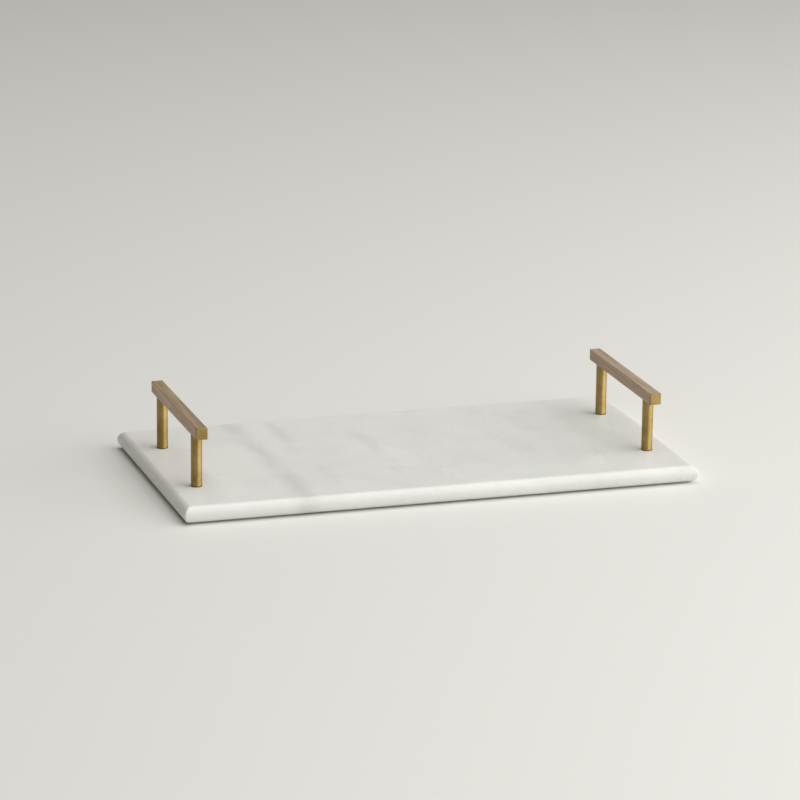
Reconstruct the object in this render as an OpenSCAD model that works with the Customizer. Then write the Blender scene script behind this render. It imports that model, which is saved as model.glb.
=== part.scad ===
// Marble vanity tray with two raised bar handles.
// +X runs along the tray from the left handle to the right one, +Y to the back, +Z up.
// The origin is the middle of the tray at the level of the surface that its feet stand on.

/* [Marble slab] */
// Length of the marble slab, over its rounded edges
slab_length = 503; // [360:1:620]
// Width of the marble slab, over its rounded edges
slab_width = 260; // [200:5:340]
// Thickness of the marble slab; its edges are half rounds of this thickness
slab_thickness = 16; // [12:0.5:25]

/* [Handle posts] */
// Distance from the end of the slab to the centre line of a handle
handle_inset = 28.5; // [20:0.5:60]
// Distance between the centres of a handle's two posts
post_spacing = 128; // [96:1:160]
// Height of the handle bar's underside above the slab
post_height = 50; // [36:1:80]
// Diameter of a post
post_diameter = 10.5; // [8.5:0.25:13]
// Depth of the shallow seat in the slab that a post stands in
seat_depth = 0.4; // [0.2:0.1:1]
// Width of the chamfer at each end of a post
post_chamfer = 0.4; // [0.2:0.1:0.8]

/* [Handle bars] */
// Width and height of the square bar
bar_size = 11; // [9:0.5:16]
// Length of wood past a post's centre, up to the end cap
bar_end = 18; // [9:0.5:24]
// Width of the chamfer along the four long edges of the bar and its caps
bar_chamfer = 0.5; // [0.2:0.1:1.2]
// Thickness of wood left above a threaded insert
bar_roof = 3; // [2:0.5:5]

/* [End caps] */
// Thickness of an end cap, a plate on the end of the wood
cap_length = 2; // [1:0.5:15]
// Diameter of the spigot that holds a cap in the end of its bar
spigot_diameter = 5; // [3:0.5:7]
// Wood left between a spigot and the nearest insert
spigot_wall = 5; // [1.5:0.5:8]

/* [Fasteners] */
// Diameter of the thread of the screws and studs
thread_diameter = 5; // [4:0.5:6]
// Depth of the blind threaded hole at each end of a post
thread_depth = 12; // [8:1:16]
// Distance that the screw stops short of the bottom of its hole
screw_gap = 2; // [1:0.5:4]
// Diameter of a screw's round head
head_diameter = 8.5; // [8:0.5:10]
// Height of a screw's head
head_height = 3; // [2.5:0.5:5]
// Width of the hexagon socket in a screw's head, across its corners
socket_width = 3.5; // [2.5:0.25:4.5]
// Depth of the hexagon socket
socket_depth = 1.6; // [1:0.1:2.2]
// Diameter of a washer
washer_diameter = 12; // [10.5:0.5:14]
// Thickness of a washer
washer_thickness = 1; // [0.5:0.1:2]
// Distance that a screw's head lies inside the underside of the slab
head_recess = 1.5; // [0.5:0.5:3]
// Outer diameter of the threaded insert in the wooden bar
insert_diameter = 7; // [6.5:0.25:8]

/* [Gaskets and feet] */
// Thickness of the soft gasket between a post and the marble
gasket_thickness = 0.8; // [0.5:0.1:2]
// Diameter of a foot
foot_diameter = 16; // [10:1:24]
// Height of a foot
foot_height = 1; // [1:0.5:5]
// Width of the chamfer round the lower edge of a foot
foot_chamfer = 0.3; // [0.2:0.1:0.8]
// Distance from the end of the slab to the centre of a foot
foot_end_inset = 70; // [66:1:120]
// Distance from the long edge of the slab to the centre of a foot
foot_side_inset = 35; // [25:1:60]

/* [Clearances] */
// Play round a screw's shank where it passes through the marble
shank_play = 0.75; // [0.25:0.25:1.5]
// Play between a threaded shank and its hole, on the radius
thread_play = 0.05; // [0.02:0.01:0.1]
// Play between a post and the wall of its seat
seat_play = 0.2; // [0.1:0.05:0.4]
// Glue gap round the inserts and the caps' spigots
glue_play = 0.05; // [0.02:0.01:0.15]
// Glue gap at the inner end of a cap's spigot
spigot_gap = 0.5; // [0.2:0.1:1]
// Play between a washer and the wall of its counterbore
washer_play = 1; // [0.5:0.25:2]

/* [Hidden] */
$fn = 96;
// Overlap of a cutter past the face that it opens
past = 1;

sides = ["left", "right"];
rows = ["front", "back"];
places = [for (side = sides) for (row = rows) str(side, "_", row)];
place_pieces = ["post", "post_gasket", "post_screw", "screw_washer", "bar_stud", "bar_insert", "end_cap", "foot"];

slab_bottom = foot_height;
deck = slab_bottom + slab_thickness;
edge_radius = slab_thickness / 2;

handle_x = slab_length / 2 - handle_inset;
post_y = post_spacing / 2;
post_bottom = deck - seat_depth + gasket_thickness;
post_top = deck + post_height;
post_length = post_top - post_bottom;
seat_diameter = post_diameter + 2 * seat_play;

wood_length = post_spacing + 2 * bar_end;
insert_length = bar_size - bar_roof;
spigot_length = bar_end - insert_diameter / 2 - spigot_wall;

shank_diameter = thread_diameter + 2 * shank_play;
tapped_diameter = thread_diameter + 2 * thread_play;
counterbore_diameter = washer_diameter + 2 * washer_play;
counterbore_depth = head_recess + head_height + washer_thickness;
head_bottom = slab_bottom + head_recess;
washer_bottom = head_bottom + head_height;
clamp_bottom = slab_bottom + counterbore_depth;
screw_top = post_bottom + thread_depth - screw_gap;
stud_bottom = post_top - thread_depth;
stud_top = post_top + insert_length;

foot_x = slab_length / 2 - foot_end_inset;
foot_y = slab_width / 2 - foot_side_inset;

marble_colour = "gainsboro";
brass_colour = "darkgoldenrod";
wood_colour = "tan";
steel_colour = "silver";
rubber_colour = "dimgray";

// 1 or -1: which way a side or a row lies from the middle of the tray
function way_x(side) = side == "right" ? 1 : -1;
function way_y(row) = row == "back" ? 1 : -1;

// Places its children at a post's axis
module at_post(side, row) {
    translate([way_x(side) * handle_x, way_y(row) * post_y, 0]) children();
}

// A plain round hole or shank from one height to another
module round_piece(diameter, bottom, top) {
    translate([0, 0, bottom]) cylinder(d = diameter, h = top - bottom);
}

// A rod of which both ends are chamfered
module chamfered_rod(diameter, bottom, top, low_chamfer, high_chamfer) {
    radius = diameter / 2;
    rotate_extrude() polygon([
        [0, bottom],
        [radius - low_chamfer, bottom],
        [radius, bottom + low_chamfer],
        [radius, top - high_chamfer],
        [radius - high_chamfer, top],
        [0, top]
    ]);
}

// Outline of the slab cut across: flat faces and half-round ends
module slab_outline(width) {
    square([width - slab_thickness, slab_thickness], center = true);
    for (way = [-1, 1]) {
        translate([way * (width / 2 - edge_radius), 0]) circle(r = edge_radius);
    }
}

// The rounded slab: the edges of its length and its width meet in mitres
module rounded_slab() {
    translate([0, 0, slab_bottom + edge_radius]) intersection() {
        rotate([90, 0, 0]) linear_extrude(slab_width + 2 * past, center = true) slab_outline(slab_length);
        rotate([90, 0, 90]) linear_extrude(slab_length + 2 * past, center = true) slab_outline(slab_width);
    }
}

module marble_slab() {
    color(marble_colour) difference() {
        rounded_slab();
        for (side = sides) for (row = rows) at_post(side, row) {
            round_piece(shank_diameter, slab_bottom, deck);
            round_piece(counterbore_diameter, slab_bottom - past, clamp_bottom);
            round_piece(seat_diameter, deck - seat_depth, deck + past);
        }
    }
}

// Cross-section of a handle bar and its caps
module bar_outline() {
    half = bar_size / 2;
    flat = half - bar_chamfer;
    polygon([
        [-flat, -half], [flat, -half], [half, -flat], [half, flat],
        [flat, half], [-flat, half], [-half, flat], [-half, -flat]
    ]);
}

// A length of bar that starts at y = 0 and runs to +Y, with its underside at z = 0
module bar_length_of(length) {
    translate([0, length, bar_size / 2]) rotate([90, 0, 0]) linear_extrude(length) bar_outline();
}

// The round spigot, or its hole, on the bar's axis from y = start to y = stop
module spigot_piece(diameter, start, stop) {
    translate([0, stop, bar_size / 2]) rotate([90, 0, 0]) cylinder(d = diameter, h = stop - start);
}

module handle_bar(side) {
    color(wood_colour) translate([way_x(side) * handle_x, 0, post_top]) difference() {
        translate([0, -wood_length / 2, 0]) bar_length_of(wood_length);
        for (way = [-1, 1]) {
            translate([0, way * post_y, 0])
                round_piece(insert_diameter + 2 * glue_play, -past, insert_length);
            scale([1, way, 1]) spigot_piece(
                spigot_diameter + 2 * glue_play,
                wood_length / 2 - spigot_length - spigot_gap,
                wood_length / 2 + past
            );
        }
    }
}

module end_cap(side, row) {
    color(brass_colour) translate([way_x(side) * handle_x, 0, post_top]) scale([1, way_y(row), 1]) {
        translate([0, wood_length / 2, 0]) bar_length_of(cap_length);
        spigot_piece(spigot_diameter, wood_length / 2 - spigot_length, wood_length / 2 + cap_length / 2);
    }
}

module post(side, row) {
    color(brass_colour) at_post(side, row) difference() {
        chamfered_rod(post_diameter, post_bottom, post_top, post_chamfer, post_chamfer);
        round_piece(tapped_diameter, post_bottom - past, post_bottom + thread_depth);
        round_piece(tapped_diameter, post_top - thread_depth, post_top + past);
    }
}

module post_gasket(side, row) {
    color(rubber_colour) at_post(side, row) difference() {
        round_piece(post_diameter, deck - seat_depth, post_bottom);
        round_piece(shank_diameter, deck - seat_depth - past, post_bottom + past);
    }
}

module post_screw(side, row) {
    color(steel_colour) at_post(side, row) difference() {
        union() {
            round_piece(head_diameter, head_bottom, washer_bottom);
            round_piece(thread_diameter, head_bottom + head_height / 2, screw_top);
        }
        translate([0, 0, head_bottom - past]) cylinder(d = socket_width, h = past + socket_depth, $fn = 6);
    }
}

module screw_washer(side, row) {
    color(steel_colour) at_post(side, row) difference() {
        round_piece(washer_diameter, washer_bottom, clamp_bottom);
        round_piece(shank_diameter, washer_bottom - past, clamp_bottom + past);
    }
}

module bar_stud(side, row) {
    color(steel_colour) at_post(side, row) round_piece(thread_diameter, stud_bottom, stud_top);
}

module bar_insert(side, row) {
    color(brass_colour) at_post(side, row) difference() {
        round_piece(insert_diameter, post_top, post_top + insert_length);
        round_piece(tapped_diameter, post_top - past, post_top + insert_length + past);
    }
}

module foot(side, row) {
    color(rubber_colour) translate([way_x(side) * foot_x, way_y(row) * foot_y, 0])
        chamfered_rod(foot_diameter, 0, foot_height, foot_chamfer, 0);
}

marble_slab();
for (side = sides) {
    handle_bar(side);
}
for (side = sides) for (row = rows) {
    place = str(side, "_", row);
    post(side, row);
    post_gasket(side, row);
    post_screw(side, row);
    screw_washer(side, row);
    bar_stud(side, row);
    bar_insert(side, row);
    end_cap(side, row);
    foot(side, row);
}
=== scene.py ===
"""A marble vanity tray with a raised bar handle at each end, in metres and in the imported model's frame."""

import math

import bmesh
import bpy
from mathutils import Matrix, Vector


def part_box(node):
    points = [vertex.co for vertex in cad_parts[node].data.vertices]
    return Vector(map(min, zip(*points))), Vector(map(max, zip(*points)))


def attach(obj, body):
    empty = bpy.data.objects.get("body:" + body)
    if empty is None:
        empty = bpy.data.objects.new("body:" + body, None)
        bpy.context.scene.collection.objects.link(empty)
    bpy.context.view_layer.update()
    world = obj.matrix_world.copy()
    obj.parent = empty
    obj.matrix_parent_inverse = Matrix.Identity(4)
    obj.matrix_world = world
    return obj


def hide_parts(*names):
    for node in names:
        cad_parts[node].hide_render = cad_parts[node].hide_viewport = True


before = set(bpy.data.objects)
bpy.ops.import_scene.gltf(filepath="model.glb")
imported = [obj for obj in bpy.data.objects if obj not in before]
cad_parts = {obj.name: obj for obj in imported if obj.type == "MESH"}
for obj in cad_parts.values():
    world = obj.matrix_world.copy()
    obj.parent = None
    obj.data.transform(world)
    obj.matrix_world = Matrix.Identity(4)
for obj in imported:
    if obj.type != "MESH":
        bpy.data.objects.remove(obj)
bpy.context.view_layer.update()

MM = 0.001
SIDES = ("left", "right")
ROWS = ("front", "back")
PLACES = [f"{side}_{row}" for side in SIDES for row in ROWS]

# ---------------------------------------------------------------------------
# Sizes of the finish: eased edges, thread forms and numbers of facets.
# The size and place of every piece come from its CAD node.
# ---------------------------------------------------------------------------

NEAR = 1e-6                 # lengths closer than this are taken as equal
SAME_STEP = 0.1 * MM        # heights or radii of a CAD node closer than this belong to one step
PAST_RIM = 1.1              # how far out of its own radius a piece's circles are looked for
AXIS_CLEAR = 0.2 * MM       # circles smaller than this are points on the axis

FINE = 96                   # segments round a visible turned piece
COARSE = 48                 # segments round a hidden or threaded one
ARC_STEPS = 5               # facets across the rounding of a turned edge
CORNER_STEPS = 6            # facets across the rounding of a bar's or cap's edge
ROUND_STEPS = 28            # facets across the slab's half-round edge
MITRE_STEPS = 8             # facets round each corner of the slab, seen from above

MITRE_RADIUS = 2.0 * MM     # softened mitre where two rounded edges meet
MITRE_TAPER = 0.4           # share of that radius lost where the edge meets the top and bottom faces
HOLE_REACH = 9 * MM         # wider than every step of a screw hole
RIM_CHAMFER = 0.15 * MM     # eased rim of each hole in the stone

BAR_EDGE = 0.75 * MM        # rounding along the bars and caps
CAP_EDGE = 0.55 * MM        # rounding round a cap's end face
JOINT_EDGE = 0.12 * MM      # fine groove where brass meets wood
GLUE_GAP = 0.05 * MM        # left for glue round an insert or a spigot
SPIGOT_END_GAP = 0.5 * MM   # free depth past a spigot's inner end
SPIGOT_CHAMFER = 0.3 * MM

POST_EDGE = 0.3 * MM
POST_MOUTH_EDGE = 0.15 * MM
GASKET_BORE_EDGE = 0.06 * MM
GASKET_ROUNDING = 0.45      # radius of its outer edges, as a share of its thickness
WASHER_BORE_EDGE = 0.2 * MM
WASHER_PUNCHED_EDGE = 0.3 * MM
WASHER_CRISP_EDGE = 0.06 * MM

FOOT_DISH_DEPTH = 0.35 * MM
FOOT_DISH = (0.42, 0.55)    # where the dish ends and the standing face starts, as shares of the foot's radius
FOOT_DISH_ROUNDINGS = (1.2 * MM, 0.6 * MM)
FOOT_EDGE = 0.45 * MM
FOOT_DRAFT = 0.1 * MM       # how far the side draws in below its top
FOOT_BRIM = 0.4 * MM        # depth over which it does
FOOT_TOP_EDGE = 0.12 * MM

THREAD_PITCH = 0.8 * MM
THREAD_HEIGHT = 0.42 * MM
THREAD_STEPS = 6            # rings for each turn of a thread
KNURL_COUNT = 32
KNURL_DEPTH = 0.1 * MM
SOCKET_CONE = 0.35          # depth of the cone at the end of a socket, as a share of its radius
SOCKET_LEAD = 0.25 * MM     # depth of a socket's chamfered mouth
SOCKET_MOUTH = (1.14, 1.2)  # the chamfer's outer edge and the flat past it, as shares of the socket's radius
HEAD_EDGE = 0.5 * MM        # rounding of the end of a screw's head
HEAD_SEAT_EDGE = 0.15 * MM  # rounding of the side that bears on the washer
SHANK_RELIEF = 0.3 * MM     # plain length under the head
SCREW_POINT = 0.5 * MM      # length of the screw's tapered end
INSERT_MOUTH = 0.2 * MM
INSERT_LEAD = 0.4 * MM


# ---------------------------------------------------------------------------
# Measuring the CAD nodes
# ---------------------------------------------------------------------------

def centre_of(node):
    """The middle of a node's box."""
    low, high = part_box(node)
    return (low + high) / 2


def circles(node, axis, reach):
    """The node's circles about an upright axis, up to a radius of reach: {height: [radii]}, lowest first."""
    found = {}
    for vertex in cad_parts[node].data.vertices:
        radius = math.hypot(vertex.co.x - axis.x, vertex.co.y - axis.y)
        if AXIS_CLEAR < radius < reach:
            found.setdefault(round(vertex.co.z, 5), set()).add(round(radius, 5))
    return {height: sorted(found[height]) for height in sorted(found)}


# ---------------------------------------------------------------------------
# Mesh building
# ---------------------------------------------------------------------------

def arc(centre, radius, start, stop, steps):
    """Points of a circular arc in a plane, from one angle to another, ends included."""
    angles = [start + (stop - start) * k / steps for k in range(steps + 1)]
    return [(centre[0] + radius * math.cos(a), centre[1] + radius * math.sin(a)) for a in angles]


def rounded(path):
    """A path of (x, y, radius) with each corner turned into an arc of its own radius; 0 keeps it sharp."""
    points = []
    for k, (x, y, radius) in enumerate(path):
        corner = Vector((x, y))
        if not radius or k in (0, len(path) - 1):
            points.append((x, y))
            continue
        before = (Vector(path[k - 1][:2]) - corner).normalized()
        after = (Vector(path[k + 1][:2]) - corner).normalized()
        half_angle = before.angle(after) / 2
        middle = corner + (before + after).normalized() * radius / math.sin(half_angle)
        reach = radius / math.tan(half_angle)
        first = corner + before * reach - middle
        last = corner + after * reach - middle
        start = math.atan2(first.y, first.x)
        turn = (math.atan2(last.y, last.x) - start + math.pi) % math.tau - math.pi
        points += arc(middle, radius, start, start + turn, ARC_STEPS)
    return points


def add_ring(bm, points):
    """New vertices at the points, in order."""
    return [bm.verts.new(point) for point in points]


def join_rings(bm, a, b):
    """Faces between two rings of as many vertices; a ring of one vertex is a tip."""
    count = max(len(a), len(b))
    for k in range(count):
        corners = [a[k % len(a)], a[(k + 1) % len(a)], b[(k + 1) % len(b)], b[k % len(b)]]
        bm.faces.new(list(dict.fromkeys(corners)))


def ring_edges(bm, ring):
    """The edges along a closed ring, made where they are missing."""
    edges = []
    for k, vertex in enumerate(ring):
        after = ring[(k + 1) % len(ring)]
        edges.append(bm.edges.get((vertex, after)) or bm.edges.new((vertex, after)))
    return edges


def fill_between(bm, *rings):
    """A flat face with the first ring as its outline and the other rings as its holes."""
    edges = [edge for ring in rings for edge in ring_edges(bm, ring)]
    bmesh.ops.triangle_fill(bm, use_beauty=True, edges=edges)


def circle(across, up, radius, segments):
    """Points of a whole circle in a plane, from its centre's two coordinates."""
    angles = [math.tau * k / segments for k in range(segments)]
    return [(across + radius * math.cos(a), up + radius * math.sin(a)) for a in angles]


def level_circle(centre, radius, height, segments):
    """A circle about an upright axis."""
    return [(x, y, height) for x, y in circle(centre.x, centre.y, radius, segments)]


def lathe(path, centre, segments=FINE, closed=False, form=None):
    """A turned piece: a path of (radius, height) swept round an upright axis.
    closed joins the path's end to its start, as a piece with a bore right through it needs.
    form, if given, returns a point's radius from its plain radius, height and angle."""
    bm = bmesh.new()
    rings = []
    for radius, height in path:
        if radius < NEAR:
            rings.append(add_ring(bm, [(centre.x, centre.y, height)]))
            continue
        points = []
        for k in range(segments):
            angle = math.tau * k / segments
            shaped = form(radius, height, angle) if form else radius
            points.append((centre.x + shaped * math.cos(angle), centre.y + shaped * math.sin(angle), height))
        rings.append(add_ring(bm, points))
    for a, b in zip(rings, rings[1:]):
        join_rings(bm, a, b)
    if closed:
        join_rings(bm, rings[-1], rings[0])
    return bm


def finish_piece(bm, node, material, sharp=35):
    """Makes an object from a mesh that stands for a CAD node, with crisp edges above the angle sharp."""
    bmesh.ops.recalc_face_normals(bm, faces=bm.faces)
    for face in bm.faces:
        face.smooth = True
    limit = math.radians(sharp)
    for edge in bm.edges:
        edge.smooth = edge.calc_face_angle(0) < limit
    mesh = bpy.data.meshes.new(f"{node}_mesh")
    bm.to_mesh(mesh)
    bm.free()
    mesh.materials.append(material)
    piece = bpy.data.objects.new(f"{node}_finished", mesh)
    bpy.context.scene.collection.objects.link(piece)
    shading = piece.modifiers.new("even_shading", "WEIGHTED_NORMAL")
    shading.keep_sharp = True
    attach(piece, "root")
    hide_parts(node)


# ---------------------------------------------------------------------------
# Materials
# ---------------------------------------------------------------------------

def srgb(red, green, blue):
    """A colour given in 0 to 255 as the eye sees it, in the linear values that shaders take."""
    def linear(value):
        value /= 255
        return value / 12.92 if value <= 0.04045 else ((value + 0.055) / 1.055) ** 2.4
    return (linear(red), linear(green), linear(blue), 1.0)


MIX_FACTOR, MIX_A, MIX_B, MIX_RESULT = 0, 6, 7, 2      # a Mix node's sockets when it mixes colours
WEAR_SAMPLES = 8
WEAR_LEANS = (0.99, 0.8)    # cosines of the leans at which wear on an edge starts and is full


class Shader:
    """A node material under construction: each method adds a node and returns its main output."""

    def __init__(self, name, **constants):
        self.material = bpy.data.materials.new(name)
        self.material.use_nodes = True
        self.tree = self.material.node_tree
        self.surface = self.tree.nodes["Principled BSDF"]
        for socket, value in constants.items():
            self.surface.inputs[socket.replace("_", " ")].default_value = value
        self.coordinates = self.add("ShaderNodeTexCoord").outputs["Object"]

    def add(self, kind, settings=None, **inputs):
        """A new node. inputs are named as its sockets are, or i0, i1 and so on by their order."""
        node = self.tree.nodes.new(kind)
        for key, value in (settings or {}).items():
            setattr(node, key, value)
        for name, value in inputs.items():
            by_order = name[0] == "i" and name[1:].isdigit()
            self.put(node.inputs[int(name[1:]) if by_order else name], value)
        return node

    def put(self, socket, value):
        """Links an output to the socket, or sets the socket to a constant."""
        if isinstance(value, bpy.types.NodeSocket):
            self.tree.links.new(value, socket)
        else:
            socket.default_value = value

    def stretched(self, x, y, z, source=None):
        """Coordinates scaled along each axis, so that a pattern runs long where the scale is small."""
        node = self.add("ShaderNodeMapping", Vector=source or self.coordinates)
        node.inputs["Scale"].default_value = (x, y, z)
        return node.outputs[0]

    def noise(self, scale, detail=3.0, roughness=0.5, distortion=0.0, source=None, seed=0.0):
        """Soft noise from 0 to 1, most of it near 0.5; scale counts its features in a metre."""
        node = self.add("ShaderNodeTexNoise", {"noise_dimensions": "4D"},
                        Vector=source or self.coordinates, W=seed, Scale=scale, Detail=detail,
                        Roughness=roughness, Distortion=distortion)
        return node.outputs["Fac"]

    def math(self, operation, a, b=0.0):
        return self.add("ShaderNodeMath", {"operation": operation}, i0=a, i1=b).outputs[0]

    def product(self, a, b):
        return self.math("MULTIPLY", a, b)

    def distance(self, a, b):
        """How far apart two values are."""
        return self.math("ABSOLUTE", self.math("SUBTRACT", a, b))

    def ramp(self, value, low, high, out_low=0.0, out_high=1.0):
        """value from low to high, eased into out_low to out_high."""
        node = self.add("ShaderNodeMapRange", {"interpolation_type": "SMOOTHSTEP"}, Value=value)
        limits = {"From Min": low, "From Max": high, "To Min": out_low, "To Max": out_high}
        for name, number in limits.items():
            node.inputs[name].default_value = number
        return node.outputs[0]

    def blend(self, factor, a, b, mode="MIX"):
        """Colour a turned towards b, or towards a times b in the mode MULTIPLY, by a factor from 0 to 1."""
        node = self.add("ShaderNodeMix", {"data_type": "RGBA", "blend_type": mode})
        self.put(node.inputs[MIX_FACTOR], factor)
        self.put(node.inputs[MIX_A], a)
        self.put(node.inputs[MIX_B], b)
        return node.outputs[MIX_RESULT]

    def warped(self, amount, scale, seed=0.0, source=None):
        """Coordinates pushed about by a soft noise, amount metres at most."""
        source = source or self.coordinates
        push = self.add("ShaderNodeTexNoise", {"noise_dimensions": "4D"},
                        Vector=source, W=seed, Scale=scale, Detail=2.0)
        centred = self.add("ShaderNodeVectorMath", {"operation": "SUBTRACT"}, i0=push.outputs["Color"])
        centred.inputs[1].default_value = (0.5, 0.5, 0.5)
        scaled = self.add("ShaderNodeVectorMath", {"operation": "SCALE"}, i0=centred.outputs[0])
        scaled.inputs["Scale"].default_value = 2 * amount
        pushed = self.add("ShaderNodeVectorMath", {"operation": "ADD"}, i0=source, i1=scaled.outputs[0])
        return pushed.outputs[0]

    def worn_edges(self, radius):
        """1 along edges and 0 on flats, from how far a rounded normal leans from the true one."""
        soft = self.add("ShaderNodeBevel", {"samples": WEAR_SAMPLES})
        soft.inputs["Radius"].default_value = radius
        true = self.add("ShaderNodeNewGeometry").outputs["Normal"]
        match = self.add("ShaderNodeVectorMath", {"operation": "DOT_PRODUCT"}, i0=soft.outputs[0], i1=true)
        return self.ramp(match.outputs["Value"], *WEAR_LEANS)

    def bump(self, height, strength, distance, normal=None):
        """A normal tilted by a height pattern, on top of another normal if one is given."""
        node = self.add("ShaderNodeBump", Height=height)
        node.inputs["Strength"].default_value = strength
        node.inputs["Distance"].default_value = distance
        if normal:
            self.put(node.inputs["Normal"], normal)
        return node.outputs[0]

    def finish(self, colour, roughness, normal):
        """Links what varies over the surface, and returns the material."""
        self.put(self.surface.inputs["Base Color"], colour)
        self.put(self.surface.inputs["Roughness"], roughness)
        self.put(self.surface.inputs["Normal"], normal)
        return self.material


MARBLE_WHITE = srgb(237, 236, 233)
MARBLE_CLOUD = srgb(229, 230, 226)
MARBLE_VEIN = srgb(186, 189, 184)
MARBLE_GRAIN = srgb(190, 192, 190)
MARBLE_CRYSTAL = srgb(196, 197, 193)
# Veins that run from front to back: where each crosses the tray, how wide it is and how dark, 0 to 1
MAIN_VEIN = (-0.138, 0.017, 0.36)
SIDE_VEINS = ((-0.098, 0.012, 0.22), (-0.030, 0.010, 0.28), (0.036, 0.015, 0.24), (0.150, 0.010, 0.06))
HAIR_VEIN_WIDTH = 0.030     # in the noise's own units
HAIR_VEIN_STRENGTH = 0.13
GRAIN_STRENGTH = 0.07
CRYSTAL_STRENGTH = 0.08


def marble():
    """Honed white marble: soft clouds, faint grey veins that run across the tray, and a fine grain."""
    s = Shader("honed_marble", Subsurface_Weight=0.12, Subsurface_Scale=0.004, IOR=1.44)
    s.surface.inputs["Subsurface Radius"].default_value = (1.0, 0.9, 0.8)
    drift = s.warped(0.016, 7.0, seed=3.1)
    frayed = s.warped(0.004, 60.0, seed=6.4, source=drift)
    across = s.stretched(1.0, 0.5, 1.0, source=frayed)

    clouds = s.ramp(s.noise(9.0, detail=5.0, roughness=0.6, source=across, seed=9.3), 0.36, 0.68)
    colour = s.blend(clouds, MARBLE_WHITE, MARBLE_CLOUD)

    place = s.add("ShaderNodeSeparateXYZ", i0=frayed).outputs["X"]

    def vein(x, width, strength, mask):
        band = s.ramp(s.distance(place, x), width, 0.0)
        return s.product(s.product(band, mask), strength)

    mottle = s.noise(36.0, detail=5.0, roughness=0.6, source=across, seed=2.4)
    veins = vein(*MAIN_VEIN, s.ramp(mottle, 0.36, 0.62, 0.25, 1.0))
    patches = s.ramp(s.noise(17.0, detail=4.0, roughness=0.6, source=across, seed=5.2), 0.48, 0.64)
    for x, width, strength in SIDE_VEINS:
        veins = s.math("MAXIMUM", veins, vein(x, width, strength, patches))
    hair = s.noise(13.0, detail=7.0, roughness=0.62, distortion=0.5, source=across, seed=4.9)
    thin = s.ramp(s.distance(hair, 0.5), HAIR_VEIN_WIDTH, 0.0)
    veins = s.math("MAXIMUM", veins, s.product(s.product(thin, patches), HAIR_VEIN_STRENGTH))
    colour = s.blend(veins, colour, MARBLE_VEIN)

    grain = s.noise(1400.0, detail=2.0, roughness=0.7, seed=7.7)
    fine = s.ramp(grain, 0.3, 0.7, 0.0, GRAIN_STRENGTH)
    colour = s.blend(fine, colour, MARBLE_GRAIN, mode="MULTIPLY")
    crystals = s.noise(210.0, detail=4.0, roughness=0.65, source=frayed, seed=3.9)
    coarse = s.ramp(crystals, 0.42, 0.7, 0.0, CRYSTAL_STRENGTH)
    colour = s.blend(coarse, colour, MARBLE_CRYSTAL, mode="MULTIPLY")

    smear = s.noise(40.0, detail=4.0, seed=8.3)
    roughness = s.math("ADD", s.ramp(smear, 0.3, 0.7, 0.34, 0.44), s.ramp(grain, 0.35, 0.65, -0.03, 0.03))
    ripple = s.bump(s.noise(60.0, detail=2.0, seed=6.1), 0.25, 0.06 * MM)
    normal = s.bump(grain, 0.12, 0.03 * MM, normal=ripple)
    return s.finish(colour, roughness, normal)


BRASS = srgb(199, 172, 107)
BRASS_DEEP = srgb(177, 149, 82)
BRASS_BRIGHT = srgb(222, 200, 142)
BRUSH_LINES = (90.0, 90.0, 2600.0)      # how often the brush lines change along X, Y and Z, in a metre
CAP_PAINTED_SHADE = 0.69             # painted shade: the caps' brass darkened against the posts'


def brass(name, tone=1.0):
    """Satin brass with brush lines round the upright axis, which draw a reflection out up and down."""
    s = Shader(name, Metallic=1.0, Coat_Weight=0.4, Coat_Roughness=0.5,
               Anisotropic=0.88, Anisotropic_Rotation=0.25)
    round_axis = s.add("ShaderNodeTangent", {"direction_type": "RADIAL", "axis": "Z"})
    s.put(s.surface.inputs["Tangent"], round_axis.outputs[0])
    lines = s.noise(1.0, detail=4.0, roughness=0.65, source=s.stretched(*BRUSH_LINES), seed=2.2)
    tarnish = s.noise(45.0, detail=5.0, roughness=0.6, source=s.warped(0.006, 30.0), seed=5.5)
    colour = s.blend(s.ramp(tarnish, 0.4, 0.7), BRASS, BRASS_DEEP)
    colour = s.blend(s.ramp(lines, 0.35, 0.7, 0.0, 0.22), colour, BRASS_DEEP)
    colour = s.blend(s.product(s.worn_edges(0.5 * MM), 0.45), colour, BRASS_BRIGHT)
    # A tone below 1 darkens the whole brass: painted shade, used for the caps
    colour = s.blend(1.0, colour, (tone, tone, tone, 1.0), mode="MULTIPLY")
    roughness = s.math("ADD", s.ramp(lines, 0.3, 0.7, 0.46, 0.56), s.ramp(tarnish, 0.4, 0.75, 0.0, 0.06))
    return s.finish(colour, roughness, s.bump(lines, 0.22, 0.03 * MM))


WOOD_TONES = {              # the lighter and the darker grain on the top of each bar
    "left": (srgb(173, 154, 128), srgb(148, 128, 103)),
    "right": (srgb(188, 170, 151), srgb(156, 133, 109)),
}
WOOD_SIDE_PAINTED_LIGHT = {         # painted light: what each bar's sides multiply those tones by, so that the sides look more lit than the top, to match the photograph
    "left": (1.56, 1.40, 1.32, 1.0),
    "right": (1.15, 1.05, 0.86, 1.0),
}
WOOD_WARM = srgb(150, 122, 96)
WOOD_PORE = srgb(70, 56, 44)
WOOD_WORN = srgb(188, 170, 146)


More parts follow.
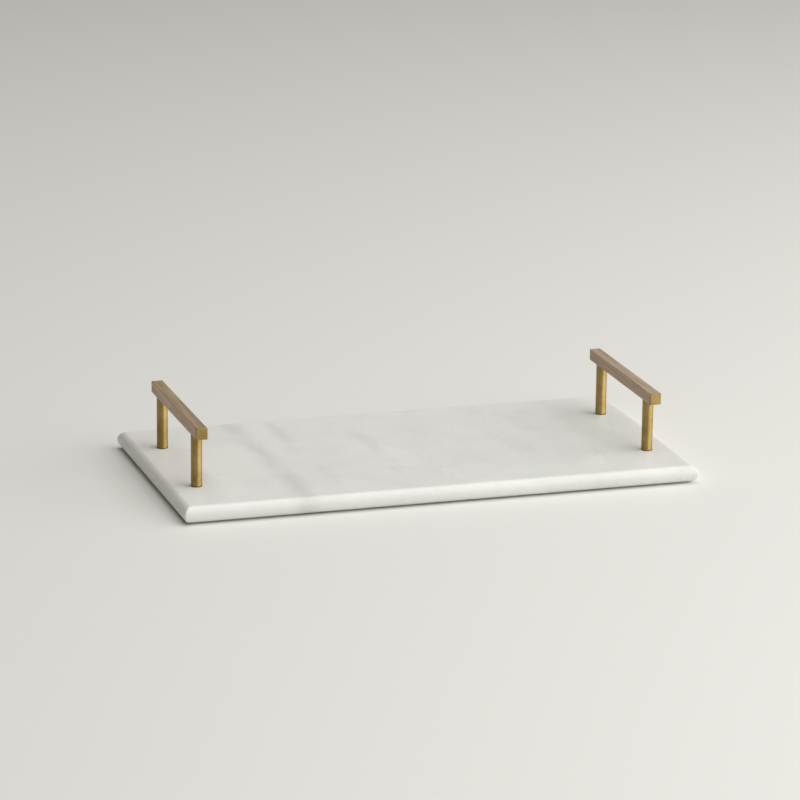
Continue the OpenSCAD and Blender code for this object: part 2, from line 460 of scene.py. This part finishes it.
def wood(side):
    """Satin grey-brown hardwood, its grain along the bar, with painted light that makes its sides lighter
    than its top.
    """
    light, dark = WOOD_TONES[side]
    s = Shader(f"grey_brown_wood_painted_side_light_{side}", IOR=1.55)
    drift = s.warped(0.0016, 28.0, seed=1.1)
    long_grain = s.stretched(1.0, 0.045, 1.0, source=drift)
    bands = s.noise(330.0, detail=3.0, roughness=0.5, distortion=0.4, source=long_grain, seed=3.3)
    longer_grain = s.stretched(1.0, 0.02, 1.0, source=drift)
    fibre = s.noise(1700.0, detail=3.0, roughness=0.7, source=longer_grain, seed=6.6)
    colour = s.blend(s.ramp(bands, 0.36, 0.66), light, dark)
    colour = s.blend(s.ramp(fibre, 0.4, 0.75, 0.0, 0.4), colour, dark)

    # Painted light: faces that look along X, the bar's sides, are multiplied lighter than the top
    painted_light_facing = s.add("ShaderNodeSeparateXYZ", i0=s.add("ShaderNodeNewGeometry").outputs["Normal"]).outputs["X"]
    painted_side_light = s.blend(1.0, colour, WOOD_SIDE_PAINTED_LIGHT[side], mode="MULTIPLY")
    colour = s.blend(s.ramp(s.math("ABSOLUTE", painted_light_facing), 0.5, 0.8), colour, painted_side_light)

    tone = s.noise(14.0, detail=2.0, seed=4.4)
    colour = s.blend(s.ramp(tone, 0.35, 0.7, 0.0, 0.25), colour, WOOD_WARM)
    pores = s.ramp(s.noise(1500.0, detail=1.0, source=s.stretched(1.0, 0.06, 1.0), seed=8.8), 0.66, 0.74)
    colour = s.blend(s.product(pores, 0.7), colour, WOOD_PORE)
    colour = s.blend(s.product(s.worn_edges(0.8 * MM), 0.3), colour, WOOD_WORN)
    roughness = s.math("ADD", s.ramp(fibre, 0.3, 0.7, 0.40, 0.52), s.product(pores, 0.2))
    relief = s.math("SUBTRACT", s.product(fibre, 0.4), pores)
    return s.finish(colour, roughness, s.bump(relief, 0.3, 0.06 * MM))


STEEL_BRIGHT = srgb(188, 190, 192)
STEEL_DULL = srgb(158, 160, 160)
STEEL_WORN = srgb(214, 215, 216)


def steel():
    """Bright zinc-plated steel with fine tool marks."""
    s = Shader("plated_steel", Metallic=1.0)
    marks = s.noise(900.0, detail=3.0, roughness=0.6, source=s.stretched(1.0, 1.0, 4.0), seed=1.9)
    haze = s.noise(160.0, detail=4.0, seed=3.7)
    colour = s.blend(s.ramp(haze, 0.35, 0.7), STEEL_BRIGHT, STEEL_DULL)
    colour = s.blend(s.product(s.worn_edges(0.4 * MM), 0.4), colour, STEEL_WORN)
    roughness = s.ramp(marks, 0.3, 0.7, 0.26, 0.42)
    return s.finish(colour, roughness, s.bump(marks, 0.2, 0.03 * MM))


def rubber(name, dark, dusty):
    """Soft matt rubber: fine moulding texture and a little pale dust."""
    s = Shader(name, IOR=1.45)
    texture = s.noise(1600.0, detail=2.0, roughness=0.6, seed=2.8)
    dust = s.ramp(s.noise(180.0, detail=5.0, roughness=0.7, seed=7.1), 0.5, 0.8, 0.0, 0.5)
    colour = s.blend(dust, dark, dusty)
    roughness = s.ramp(texture, 0.3, 0.7, 0.66, 0.86)
    return s.finish(colour, roughness, s.bump(texture, 0.35, 0.06 * MM))


MARBLE = marble()
POST_BRASS = brass("turned_brass")
# The same brass as the posts, darkened as painted shade
SHADED_CAP_BRASS = brass("cap_brass_painted_shade", tone=CAP_PAINTED_SHADE)
WOOD = {side: wood(side) for side in SIDES}
STEEL = steel()
FOOT_RUBBER = rubber("foot_rubber", dark=srgb(46, 46, 47), dusty=srgb(92, 92, 92))
GASKET_RUBBER = rubber("gasket_rubber", dark=srgb(38, 35, 31), dusty=srgb(70, 66, 60))


# ---------------------------------------------------------------------------
# The marble slab
# ---------------------------------------------------------------------------

def plan_points(half_length, half_width, radius, height):
    """A rectangle with rounded corners, seen from above."""
    points = []
    for quarter, (way_x, way_y) in enumerate(((1, 1), (-1, 1), (-1, -1), (1, -1))):
        centre = (way_x * (half_length - radius), way_y * (half_width - radius))
        start = quarter * math.pi / 2
        points += arc(centre, radius, start, start + math.pi / 2, MITRE_STEPS)
    return [(x, y, height) for x, y in points]


def hole_profile(axis):
    """One screw hole through the slab as (radius, height) from the top face down, with eased rims."""
    step = circles("marble_slab", axis, reach=HOLE_REACH)
    bottom, clamp, seat, deck = step
    seat_radius = step[deck][0]
    shank_radius = step[seat][0]
    bore_radius = step[bottom][-1]
    return [
        (seat_radius + RIM_CHAMFER, deck), (seat_radius, deck - RIM_CHAMFER), (seat_radius, seat),
        (shank_radius, seat), (shank_radius, clamp), (bore_radius, clamp),
        (bore_radius, bottom + 2 * RIM_CHAMFER), (bore_radius + 2 * RIM_CHAMFER, bottom),
    ]


def slab():
    """The stone, as outlines stacked round its half-round edge, with four screw holes through it."""
    low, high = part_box("marble_slab")
    size, centre = high - low, (low + high) / 2
    round_radius = size.z / 2
    bm = bmesh.new()
    rings = []
    for k in range(ROUND_STEPS + 1):
        angle = math.pi / 2 - math.pi * k / ROUND_STEPS
        inset = round_radius * (1 - math.cos(angle))
        corner = MITRE_RADIUS * (1 - MITRE_TAPER * inset / round_radius)
        points = plan_points(size.x / 2 - inset, size.y / 2 - inset, corner,
                             centre.z + round_radius * math.sin(angle))
        rings.append(add_ring(bm, points))
    for a, b in zip(rings, rings[1:]):
        join_rings(bm, a, b)
    tops, bottoms = [], []
    for place in PLACES:
        axis = centre_of(f"{place}_post")
        hole = [
            add_ring(bm, level_circle(axis, radius, height, FINE))
            for radius, height in hole_profile(axis)
        ]
        for a, b in zip(hole, hole[1:]):
            join_rings(bm, a, b)
        tops.append(hole[0])
        bottoms.append(hole[-1])
    fill_between(bm, rings[0], *tops)
    fill_between(bm, rings[-1], *bottoms)
    finish_piece(bm, "marble_slab", MARBLE, sharp=30)


# ---------------------------------------------------------------------------
# Turned pieces: posts, gaskets, washers, feet, screws, studs and inserts
# ---------------------------------------------------------------------------

def post(place):
    """A turned post with a blind hole at each end."""
    node = f"{place}_post"
    low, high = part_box(node)
    axis = centre_of(node)
    radius = (high.x - low.x) / 2
    steps = circles(node, axis, reach=radius * PAST_RIM)
    bore = steps[min(steps)][0]
    bore_heights = sorted(height for height, radii in steps.items() if bore in radii)
    depth = bore_heights[1] - low.z         # the lower hole's mouth comes first, then its floor
    path = rounded([
        (0, low.z + depth, 0), (bore, low.z + depth, 0),
        (bore, low.z, POST_MOUTH_EDGE), (radius, low.z, POST_EDGE),
        (radius, high.z, POST_EDGE), (bore, high.z, POST_MOUTH_EDGE),
        (bore, high.z - depth, 0), (0, high.z - depth, 0),
    ])
    finish_piece(lathe(path, axis), node, POST_BRASS)


def gasket(place):
    """A soft ring whose outer edge bulges, as it does when the post presses on it."""
    node = f"{place}_post_gasket"
    low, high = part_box(node)
    axis = centre_of(node)
    outer = (high.x - low.x) / 2
    inner = min(radii[0] for radii in circles(node, axis, reach=outer * PAST_RIM).values())
    edge = (high.z - low.z) * GASKET_ROUNDING
    middle = (low.z + high.z) / 2
    path = rounded([
        (inner, middle, 0),
        (inner, low.z, GASKET_BORE_EDGE), (outer, low.z, edge),
        (outer, high.z, edge), (inner, high.z, GASKET_BORE_EDGE),
        (inner, middle, 0),
    ])[:-1]
    finish_piece(lathe(path, axis, closed=True), node, GASKET_RUBBER)


def washer(place):
    """A stamped washer: the edge that met the punch is rounded, the other one is crisp."""
    node = f"{place}_screw_washer"
    low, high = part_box(node)
    axis = centre_of(node)
    outer = (high.x - low.x) / 2
    inner = min(radii[0] for radii in circles(node, axis, reach=outer * PAST_RIM).values())
    middle = (low.z + high.z) / 2
    path = rounded([
        (inner, middle, 0),
        (inner, low.z, WASHER_BORE_EDGE), (outer, low.z, WASHER_PUNCHED_EDGE),
        (outer, high.z, WASHER_CRISP_EDGE), (inner, high.z, WASHER_CRISP_EDGE),
        (inner, middle, 0),
    ])[:-1]
    finish_piece(lathe(path, axis, closed=True), node, STEEL)


def foot(place):
    """A moulded pad with a drawn-in side and a shallow dish in the face that it stands on."""
    node = f"{place}_foot"
    low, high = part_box(node)
    axis = centre_of(node)
    radius = (high.x - low.x) / 2
    dish = low.z + FOOT_DISH_DEPTH
    path = rounded([
        (0, dish, 0), (radius * FOOT_DISH[0], dish, FOOT_DISH_ROUNDINGS[0]),
        (radius * FOOT_DISH[1], low.z, FOOT_DISH_ROUNDINGS[1]), (radius - FOOT_EDGE, low.z, FOOT_EDGE),
        (radius - FOOT_DRAFT, high.z - FOOT_BRIM, FOOT_DRAFT),
        (radius, high.z, FOOT_TOP_EDGE), (0, high.z, 0),
    ])
    finish_piece(lathe(path, axis), node, FOOT_RUBBER, sharp=50)


def thread_path(radius, start, stop):
    """Heights of a threaded length, close enough together to carry the thread's form."""
    count = max(2, round(abs(stop - start) / THREAD_PITCH * THREAD_STEPS))
    return [(radius, start + (stop - start) * k / count) for k in range(count + 1)]


def thread_radius(radius, height, angle, start, stop):
    """The radius of a helical thread at a point, running out at both ends of its length."""
    turn = (height / THREAD_PITCH - angle / math.tau) % 1
    crest = 1 - abs(2 * turn - 1)
    to_end = min(height - start, stop - height) / THREAD_PITCH
    return radius - THREAD_HEIGHT * (1 - crest) * min(1, max(0, to_end))


def screw(place):
    """A socket screw, head down: hexagon socket, knurled head, and a threaded shank."""
    node = f"{place}_post_screw"
    low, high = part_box(node)
    axis = centre_of(node)
    head = (high.x - low.x) / 2
    steps = circles(node, axis, reach=head * PAST_RIM)
    shank = min(radii[0] for height, radii in steps.items() if height > high.z - SAME_STEP)
    head_top = max(height for height, radii in steps.items() if radii[-1] > head - SAME_STEP)
    socket_top = sorted(steps)[1]           # the first step above the face of the head
    socket = steps[socket_top][0]
    mouth, flat_start = SOCKET_MOUTH
    path = [(0, socket_top + socket * SOCKET_CONE), (socket, socket_top), (socket, low.z + SOCKET_LEAD)]
    path += [(socket * mouth, low.z)]
    path += rounded([
        (socket * flat_start, low.z, 0), (head, low.z, HEAD_EDGE), (head, head_top, HEAD_SEAT_EDGE),
        (shank, head_top, 0),
    ])
    path += thread_path(shank, head_top + SHANK_RELIEF, high.z - SCREW_POINT)
    path += [(shank - THREAD_HEIGHT, high.z), (0, high.z)]

    def form(radius, height, angle):
        """A hexagon in the socket, knurls round the head and a thread on the shank."""
        if radius <= socket + NEAR and height < head_top:
            from_flat = (angle + math.pi / 6) % (math.pi / 3) - math.pi / 6
            return radius * math.cos(math.pi / 6) / math.cos(from_flat)
        if abs(radius - head) < NEAR and height < head_top:
            return radius - KNURL_DEPTH * (0.5 + 0.5 * math.cos(KNURL_COUNT * angle))
        if height > head_top:
            return thread_radius(radius, height, angle, head_top, high.z)
        return radius

    finish_piece(lathe(path, axis, form=form), node, STEEL, sharp=40)


def stud(place):
    """A headless threaded rod with a chamfer at each end."""
    node = f"{place}_bar_stud"
    low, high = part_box(node)
    axis = centre_of(node)
    radius = (high.x - low.x) / 2
    chamfer = THREAD_HEIGHT
    path = [(0, low.z), (radius - chamfer, low.z)]
    path += thread_path(radius, low.z + chamfer, high.z - chamfer)
    path += [(radius - chamfer, high.z), (0, high.z)]

    def form(radius, height, angle):
        return thread_radius(radius, height, angle, low.z, high.z)

    finish_piece(lathe(path, axis, segments=COARSE, form=form), node, STEEL, sharp=40)


def insert(place):
    """A brass insert with a coarse outer thread that bites into the wood."""
    node = f"{place}_bar_insert"
    low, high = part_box(node)
    axis = centre_of(node)
    outer = (high.x - low.x) / 2
    bore = min(radii[0] for radii in circles(node, axis, reach=outer * PAST_RIM).values())
    path = [(bore, low.z + INSERT_MOUTH), (bore + INSERT_MOUTH, low.z), (outer - INSERT_LEAD, low.z)]
    path += thread_path(outer, low.z + INSERT_LEAD, high.z - INSERT_LEAD)
    path += [(outer - INSERT_LEAD, high.z), (bore + INSERT_MOUTH, high.z), (bore, high.z - INSERT_MOUTH)]

    def form(radius, height, angle):
        return thread_radius(radius, height, angle, low.z, high.z) if radius > outer - NEAR else radius

    bm = lathe(path, axis, segments=COARSE, closed=True, form=form)
    finish_piece(bm, node, SHADED_CAP_BRASS, sharp=40)


# ---------------------------------------------------------------------------
# Bars and end caps
# ---------------------------------------------------------------------------

def square_points(centre, half, radius, along):
    """A square with rounded corners across the bar, at a place along it."""
    points = []
    for quarter, (way_x, way_z) in enumerate(((1, 1), (-1, 1), (-1, -1), (1, -1))):
        middle = (centre.x + way_x * (half - radius), centre.z + way_z * (half - radius))
        start = quarter * math.pi / 2
        points += arc(middle, radius, start, start + math.pi / 2, CORNER_STEPS)
    return [(x, along, z) for x, z in points]


def square_length(bm, centre, half, shape):
    """A square length of bar, from its (inset, place along it) pairs; returns its rings."""
    rings = [
        add_ring(bm, square_points(centre, half - inset, BAR_EDGE - inset, along))
        for inset, along in shape
    ]
    for a, b in zip(rings, rings[1:]):
        join_rings(bm, a, b)
    return rings


def spigot_circle(centre, radius, along):
    """A circle about the bar's own axis, at a place along it."""
    return [(x, along, z) for x, z in circle(centre.x, centre.z, radius, COARSE)]


def spigot_size(place):
    """The radius of a cap's spigot and how far along Y its inner end lies."""
    node = f"{place}_end_cap"
    low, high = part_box(node)
    inner_end = min((low.y, high.y), key=abs)
    middle_x = (low.x + high.x) / 2
    radius = max(abs(vertex.co.x - middle_x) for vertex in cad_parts[node].data.vertices
                 if abs(vertex.co.y - inner_end) < SAME_STEP)
    return radius, inner_end


def end_cap(place):
    """A square brass plate with a rounded face, and the spigot that goes into the bar's end."""
    node = f"{place}_end_cap"
    side = place.split("_")[0]
    low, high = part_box(node)
    bar_low, bar_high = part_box(f"{side}_handle_bar")
    centre = (bar_low + bar_high) / 2
    way = 1 if centre_of(node).y > 0 else -1
    half = (bar_high.x - bar_low.x) / 2
    joint = bar_high.y if way > 0 else bar_low.y
    outer = high.y if way > 0 else low.y
    spigot, inner_end = spigot_size(place)
    bm = bmesh.new()
    shape = [(JOINT_EDGE, joint), (0, joint + way * JOINT_EDGE)]
    for k in range(CORNER_STEPS + 1):
        turn = math.pi / 2 * k / CORNER_STEPS
        shape.append((CAP_EDGE * (1 - math.cos(turn)), outer - way * CAP_EDGE * (1 - math.sin(turn))))
    rings = square_length(bm, centre, half, shape)
    bm.faces.new(rings[-1])
    pin = [(spigot, joint), (spigot, inner_end + way * SPIGOT_CHAMFER), (spigot - SPIGOT_CHAMFER, inner_end)]
    pin_rings = [add_ring(bm, spigot_circle(centre, radius, along)) for radius, along in pin]
    for a, b in zip(pin_rings, pin_rings[1:]):
        join_rings(bm, a, b)
    bm.faces.new(pin_rings[-1])
    fill_between(bm, rings[0], pin_rings[0])
    finish_piece(bm, node, SHADED_CAP_BRASS)


def handle_bar(side):
    """A square wooden bar, with a bore below for each insert and one in each end for a cap's spigot."""
    node = f"{side}_handle_bar"
    low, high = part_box(node)
    centre = (low + high) / 2
    half = (high.x - low.x) / 2
    bm = bmesh.new()
    shape = [(JOINT_EDGE, low.y), (0, low.y + JOINT_EDGE), (0, high.y - JOINT_EDGE), (JOINT_EDGE, high.y)]
    rings = square_length(bm, centre, half, shape)

    # The long flat face below is made again, with holes for the inserts
    under = [k for k, vertex in enumerate(rings[1]) if abs(vertex.co.z - low.z) < NEAR]
    near_end, far_end = rings[1], rings[2]
    border = [near_end[under[0]], near_end[under[-1]], far_end[under[-1]], far_end[under[0]]]
    bm.faces.remove(next(face for face in bm.faces if set(border) == set(face.verts)))
    bores = []
    for row in ROWS:
        insert_low, insert_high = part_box(f"{side}_{row}_bar_insert")
        axis = (insert_low + insert_high) / 2
        radius = (insert_high.x - insert_low.x) / 2 + GLUE_GAP
        mouth = add_ring(bm, level_circle(axis, radius, low.z, COARSE))
        floor = add_ring(bm, level_circle(axis, radius, insert_high.z, COARSE))
        join_rings(bm, mouth, floor)
        bm.faces.new(floor)
        bores.append(mouth)
    fill_between(bm, border, *bores)

    for row, ring in (("front", rings[0]), ("back", rings[-1])):
        spigot, inner_end = spigot_size(f"{side}_{row}")
        along = ring[0].co.y
        way = 1 if along > 0 else -1
        mouth = add_ring(bm, spigot_circle(centre, spigot + GLUE_GAP, along))
        floor = add_ring(bm, spigot_circle(centre, spigot + GLUE_GAP, inner_end - way * SPIGOT_END_GAP))
        join_rings(bm, mouth, floor)
        bm.faces.new(floor)
        fill_between(bm, ring, mouth)
    finish_piece(bm, node, WOOD[side])


slab()
for side in SIDES:
    handle_bar(side)
for place in PLACES:
    post(place)
    gasket(place)
    washer(place)
    screw(place)
    stud(place)
    insert(place)
    end_cap(place)
    foot(place)


# ---------------------------------------------------------------------------
# Floor, light and camera
# ---------------------------------------------------------------------------

FLOOR_REACH = 6.0           # half its width
FLOOR_COLOUR = srgb(231, 230, 226)
FLOOR_ROUGHNESS = 0.6
FILL_COLOUR = (1.0, 0.86, 0.64, 1.0)    # the warm light that a room throws back from all sides
FILL_STRENGTH = 0.10


def studio_floor():
    """A plain pale square that the tray stands on."""
    bm = bmesh.new()
    corners = [(x * FLOOR_REACH, y * FLOOR_REACH, 0) for x, y in ((-1, -1), (1, -1), (1, 1), (-1, 1))]
    bm.faces.new(add_ring(bm, corners))
    mesh = bpy.data.meshes.new("studio_floor_mesh")
    bm.to_mesh(mesh)
    bm.free()
    s = Shader("pale_floor", Roughness=FLOOR_ROUGHNESS, Base_Color=FLOOR_COLOUR)
    mesh.materials.append(s.material)
    floor = bpy.data.objects.new("studio_floor", mesh)
    bpy.context.scene.collection.objects.link(floor)


def soft_light(name, power, width, height, azimuth, elevation, distance, colour):
    """A soft light aimed at the tray. Azimuth 0 is in front of it and 90 to its right."""
    turn, rise = math.radians(azimuth), math.radians(elevation)
    towards = Vector((math.sin(turn) * math.cos(rise), -math.cos(turn) * math.cos(rise), math.sin(rise)))
    data = bpy.data.lights.new(name, "AREA")
    data.energy = power
    data.shape = "RECTANGLE"
    data.size = width
    data.size_y = height
    data.color = colour
    lamp = bpy.data.objects.new(name, data)
    lamp.location = towards * distance
    lamp.rotation_euler = towards.to_track_quat("Z", "Y").to_euler()
    bpy.context.scene.collection.objects.link(lamp)


def studio_light():
    """A wide low window to the right of the camera, a large soft light overhead, and a faint warm fill."""
    soft_light("window", power=72, width=4.7, height=2.0,
               azimuth=54, elevation=25, distance=2.6, colour=(1.0, 0.99, 0.97))
    soft_light("overhead", power=220, width=6.1, height=6.1,
               azimuth=80, elevation=80, distance=5.0, colour=(0.98, 0.99, 1.0))
    world = bpy.data.worlds.new("studio")
    world.use_nodes = True
    background = world.node_tree.nodes["Background"]
    background.inputs["Color"].default_value = FILL_COLOUR
    background.inputs["Strength"].default_value = FILL_STRENGTH
    bpy.context.scene.world = world
    bpy.context.scene.view_settings.view_transform = "Standard"


CAMERA_AZIMUTH = 17.81      # degrees that the view turns from straight along +Y towards +X
CAMERA_ELEVATION = 16.0
CAMERA_ROLL = -0.75
CAMERA_DISTANCE = 3.922     # metres
CAMERA_TARGET = Vector((0.0039, 0.0, 0.0675))
CAMERA_LENS = 184.85        # mm
CAMERA_SENSOR = 36          # mm wide
CAMERA_SHIFT = (-0.0118, -0.0032)
CAMERA_CLIP = 50            # metres


def camera():
    """The camera, at the viewing angle that fits the tray in the photograph."""
    turn, drop = math.radians(CAMERA_AZIMUTH), math.radians(CAMERA_ELEVATION)
    roll = math.radians(CAMERA_ROLL)
    forward = Vector((math.sin(turn) * math.cos(drop), math.cos(turn) * math.cos(drop), -math.sin(drop)))
    level_right = Vector((math.cos(turn), -math.sin(turn), 0))
    level_down = forward.cross(level_right)
    right = math.cos(roll) * level_right + math.sin(roll) * level_down
    up = math.sin(roll) * level_right - math.cos(roll) * level_down
    data = bpy.data.cameras.new("camera")
    data.lens = CAMERA_LENS
    data.sensor_width = CAMERA_SENSOR
    data.shift_x, data.shift_y = CAMERA_SHIFT
    data.clip_end = CAMERA_CLIP
    view = bpy.data.objects.new("camera", data)
    view.matrix_world = Matrix.Translation(CAMERA_TARGET - CAMERA_DISTANCE * forward) @ Matrix(
        (right, up, -forward)).transposed().to_4x4()
    bpy.context.scene.collection.objects.link(view)
    bpy.context.scene.camera = view


studio_floor()
studio_light()
camera()

bpy.context.view_layer.update()
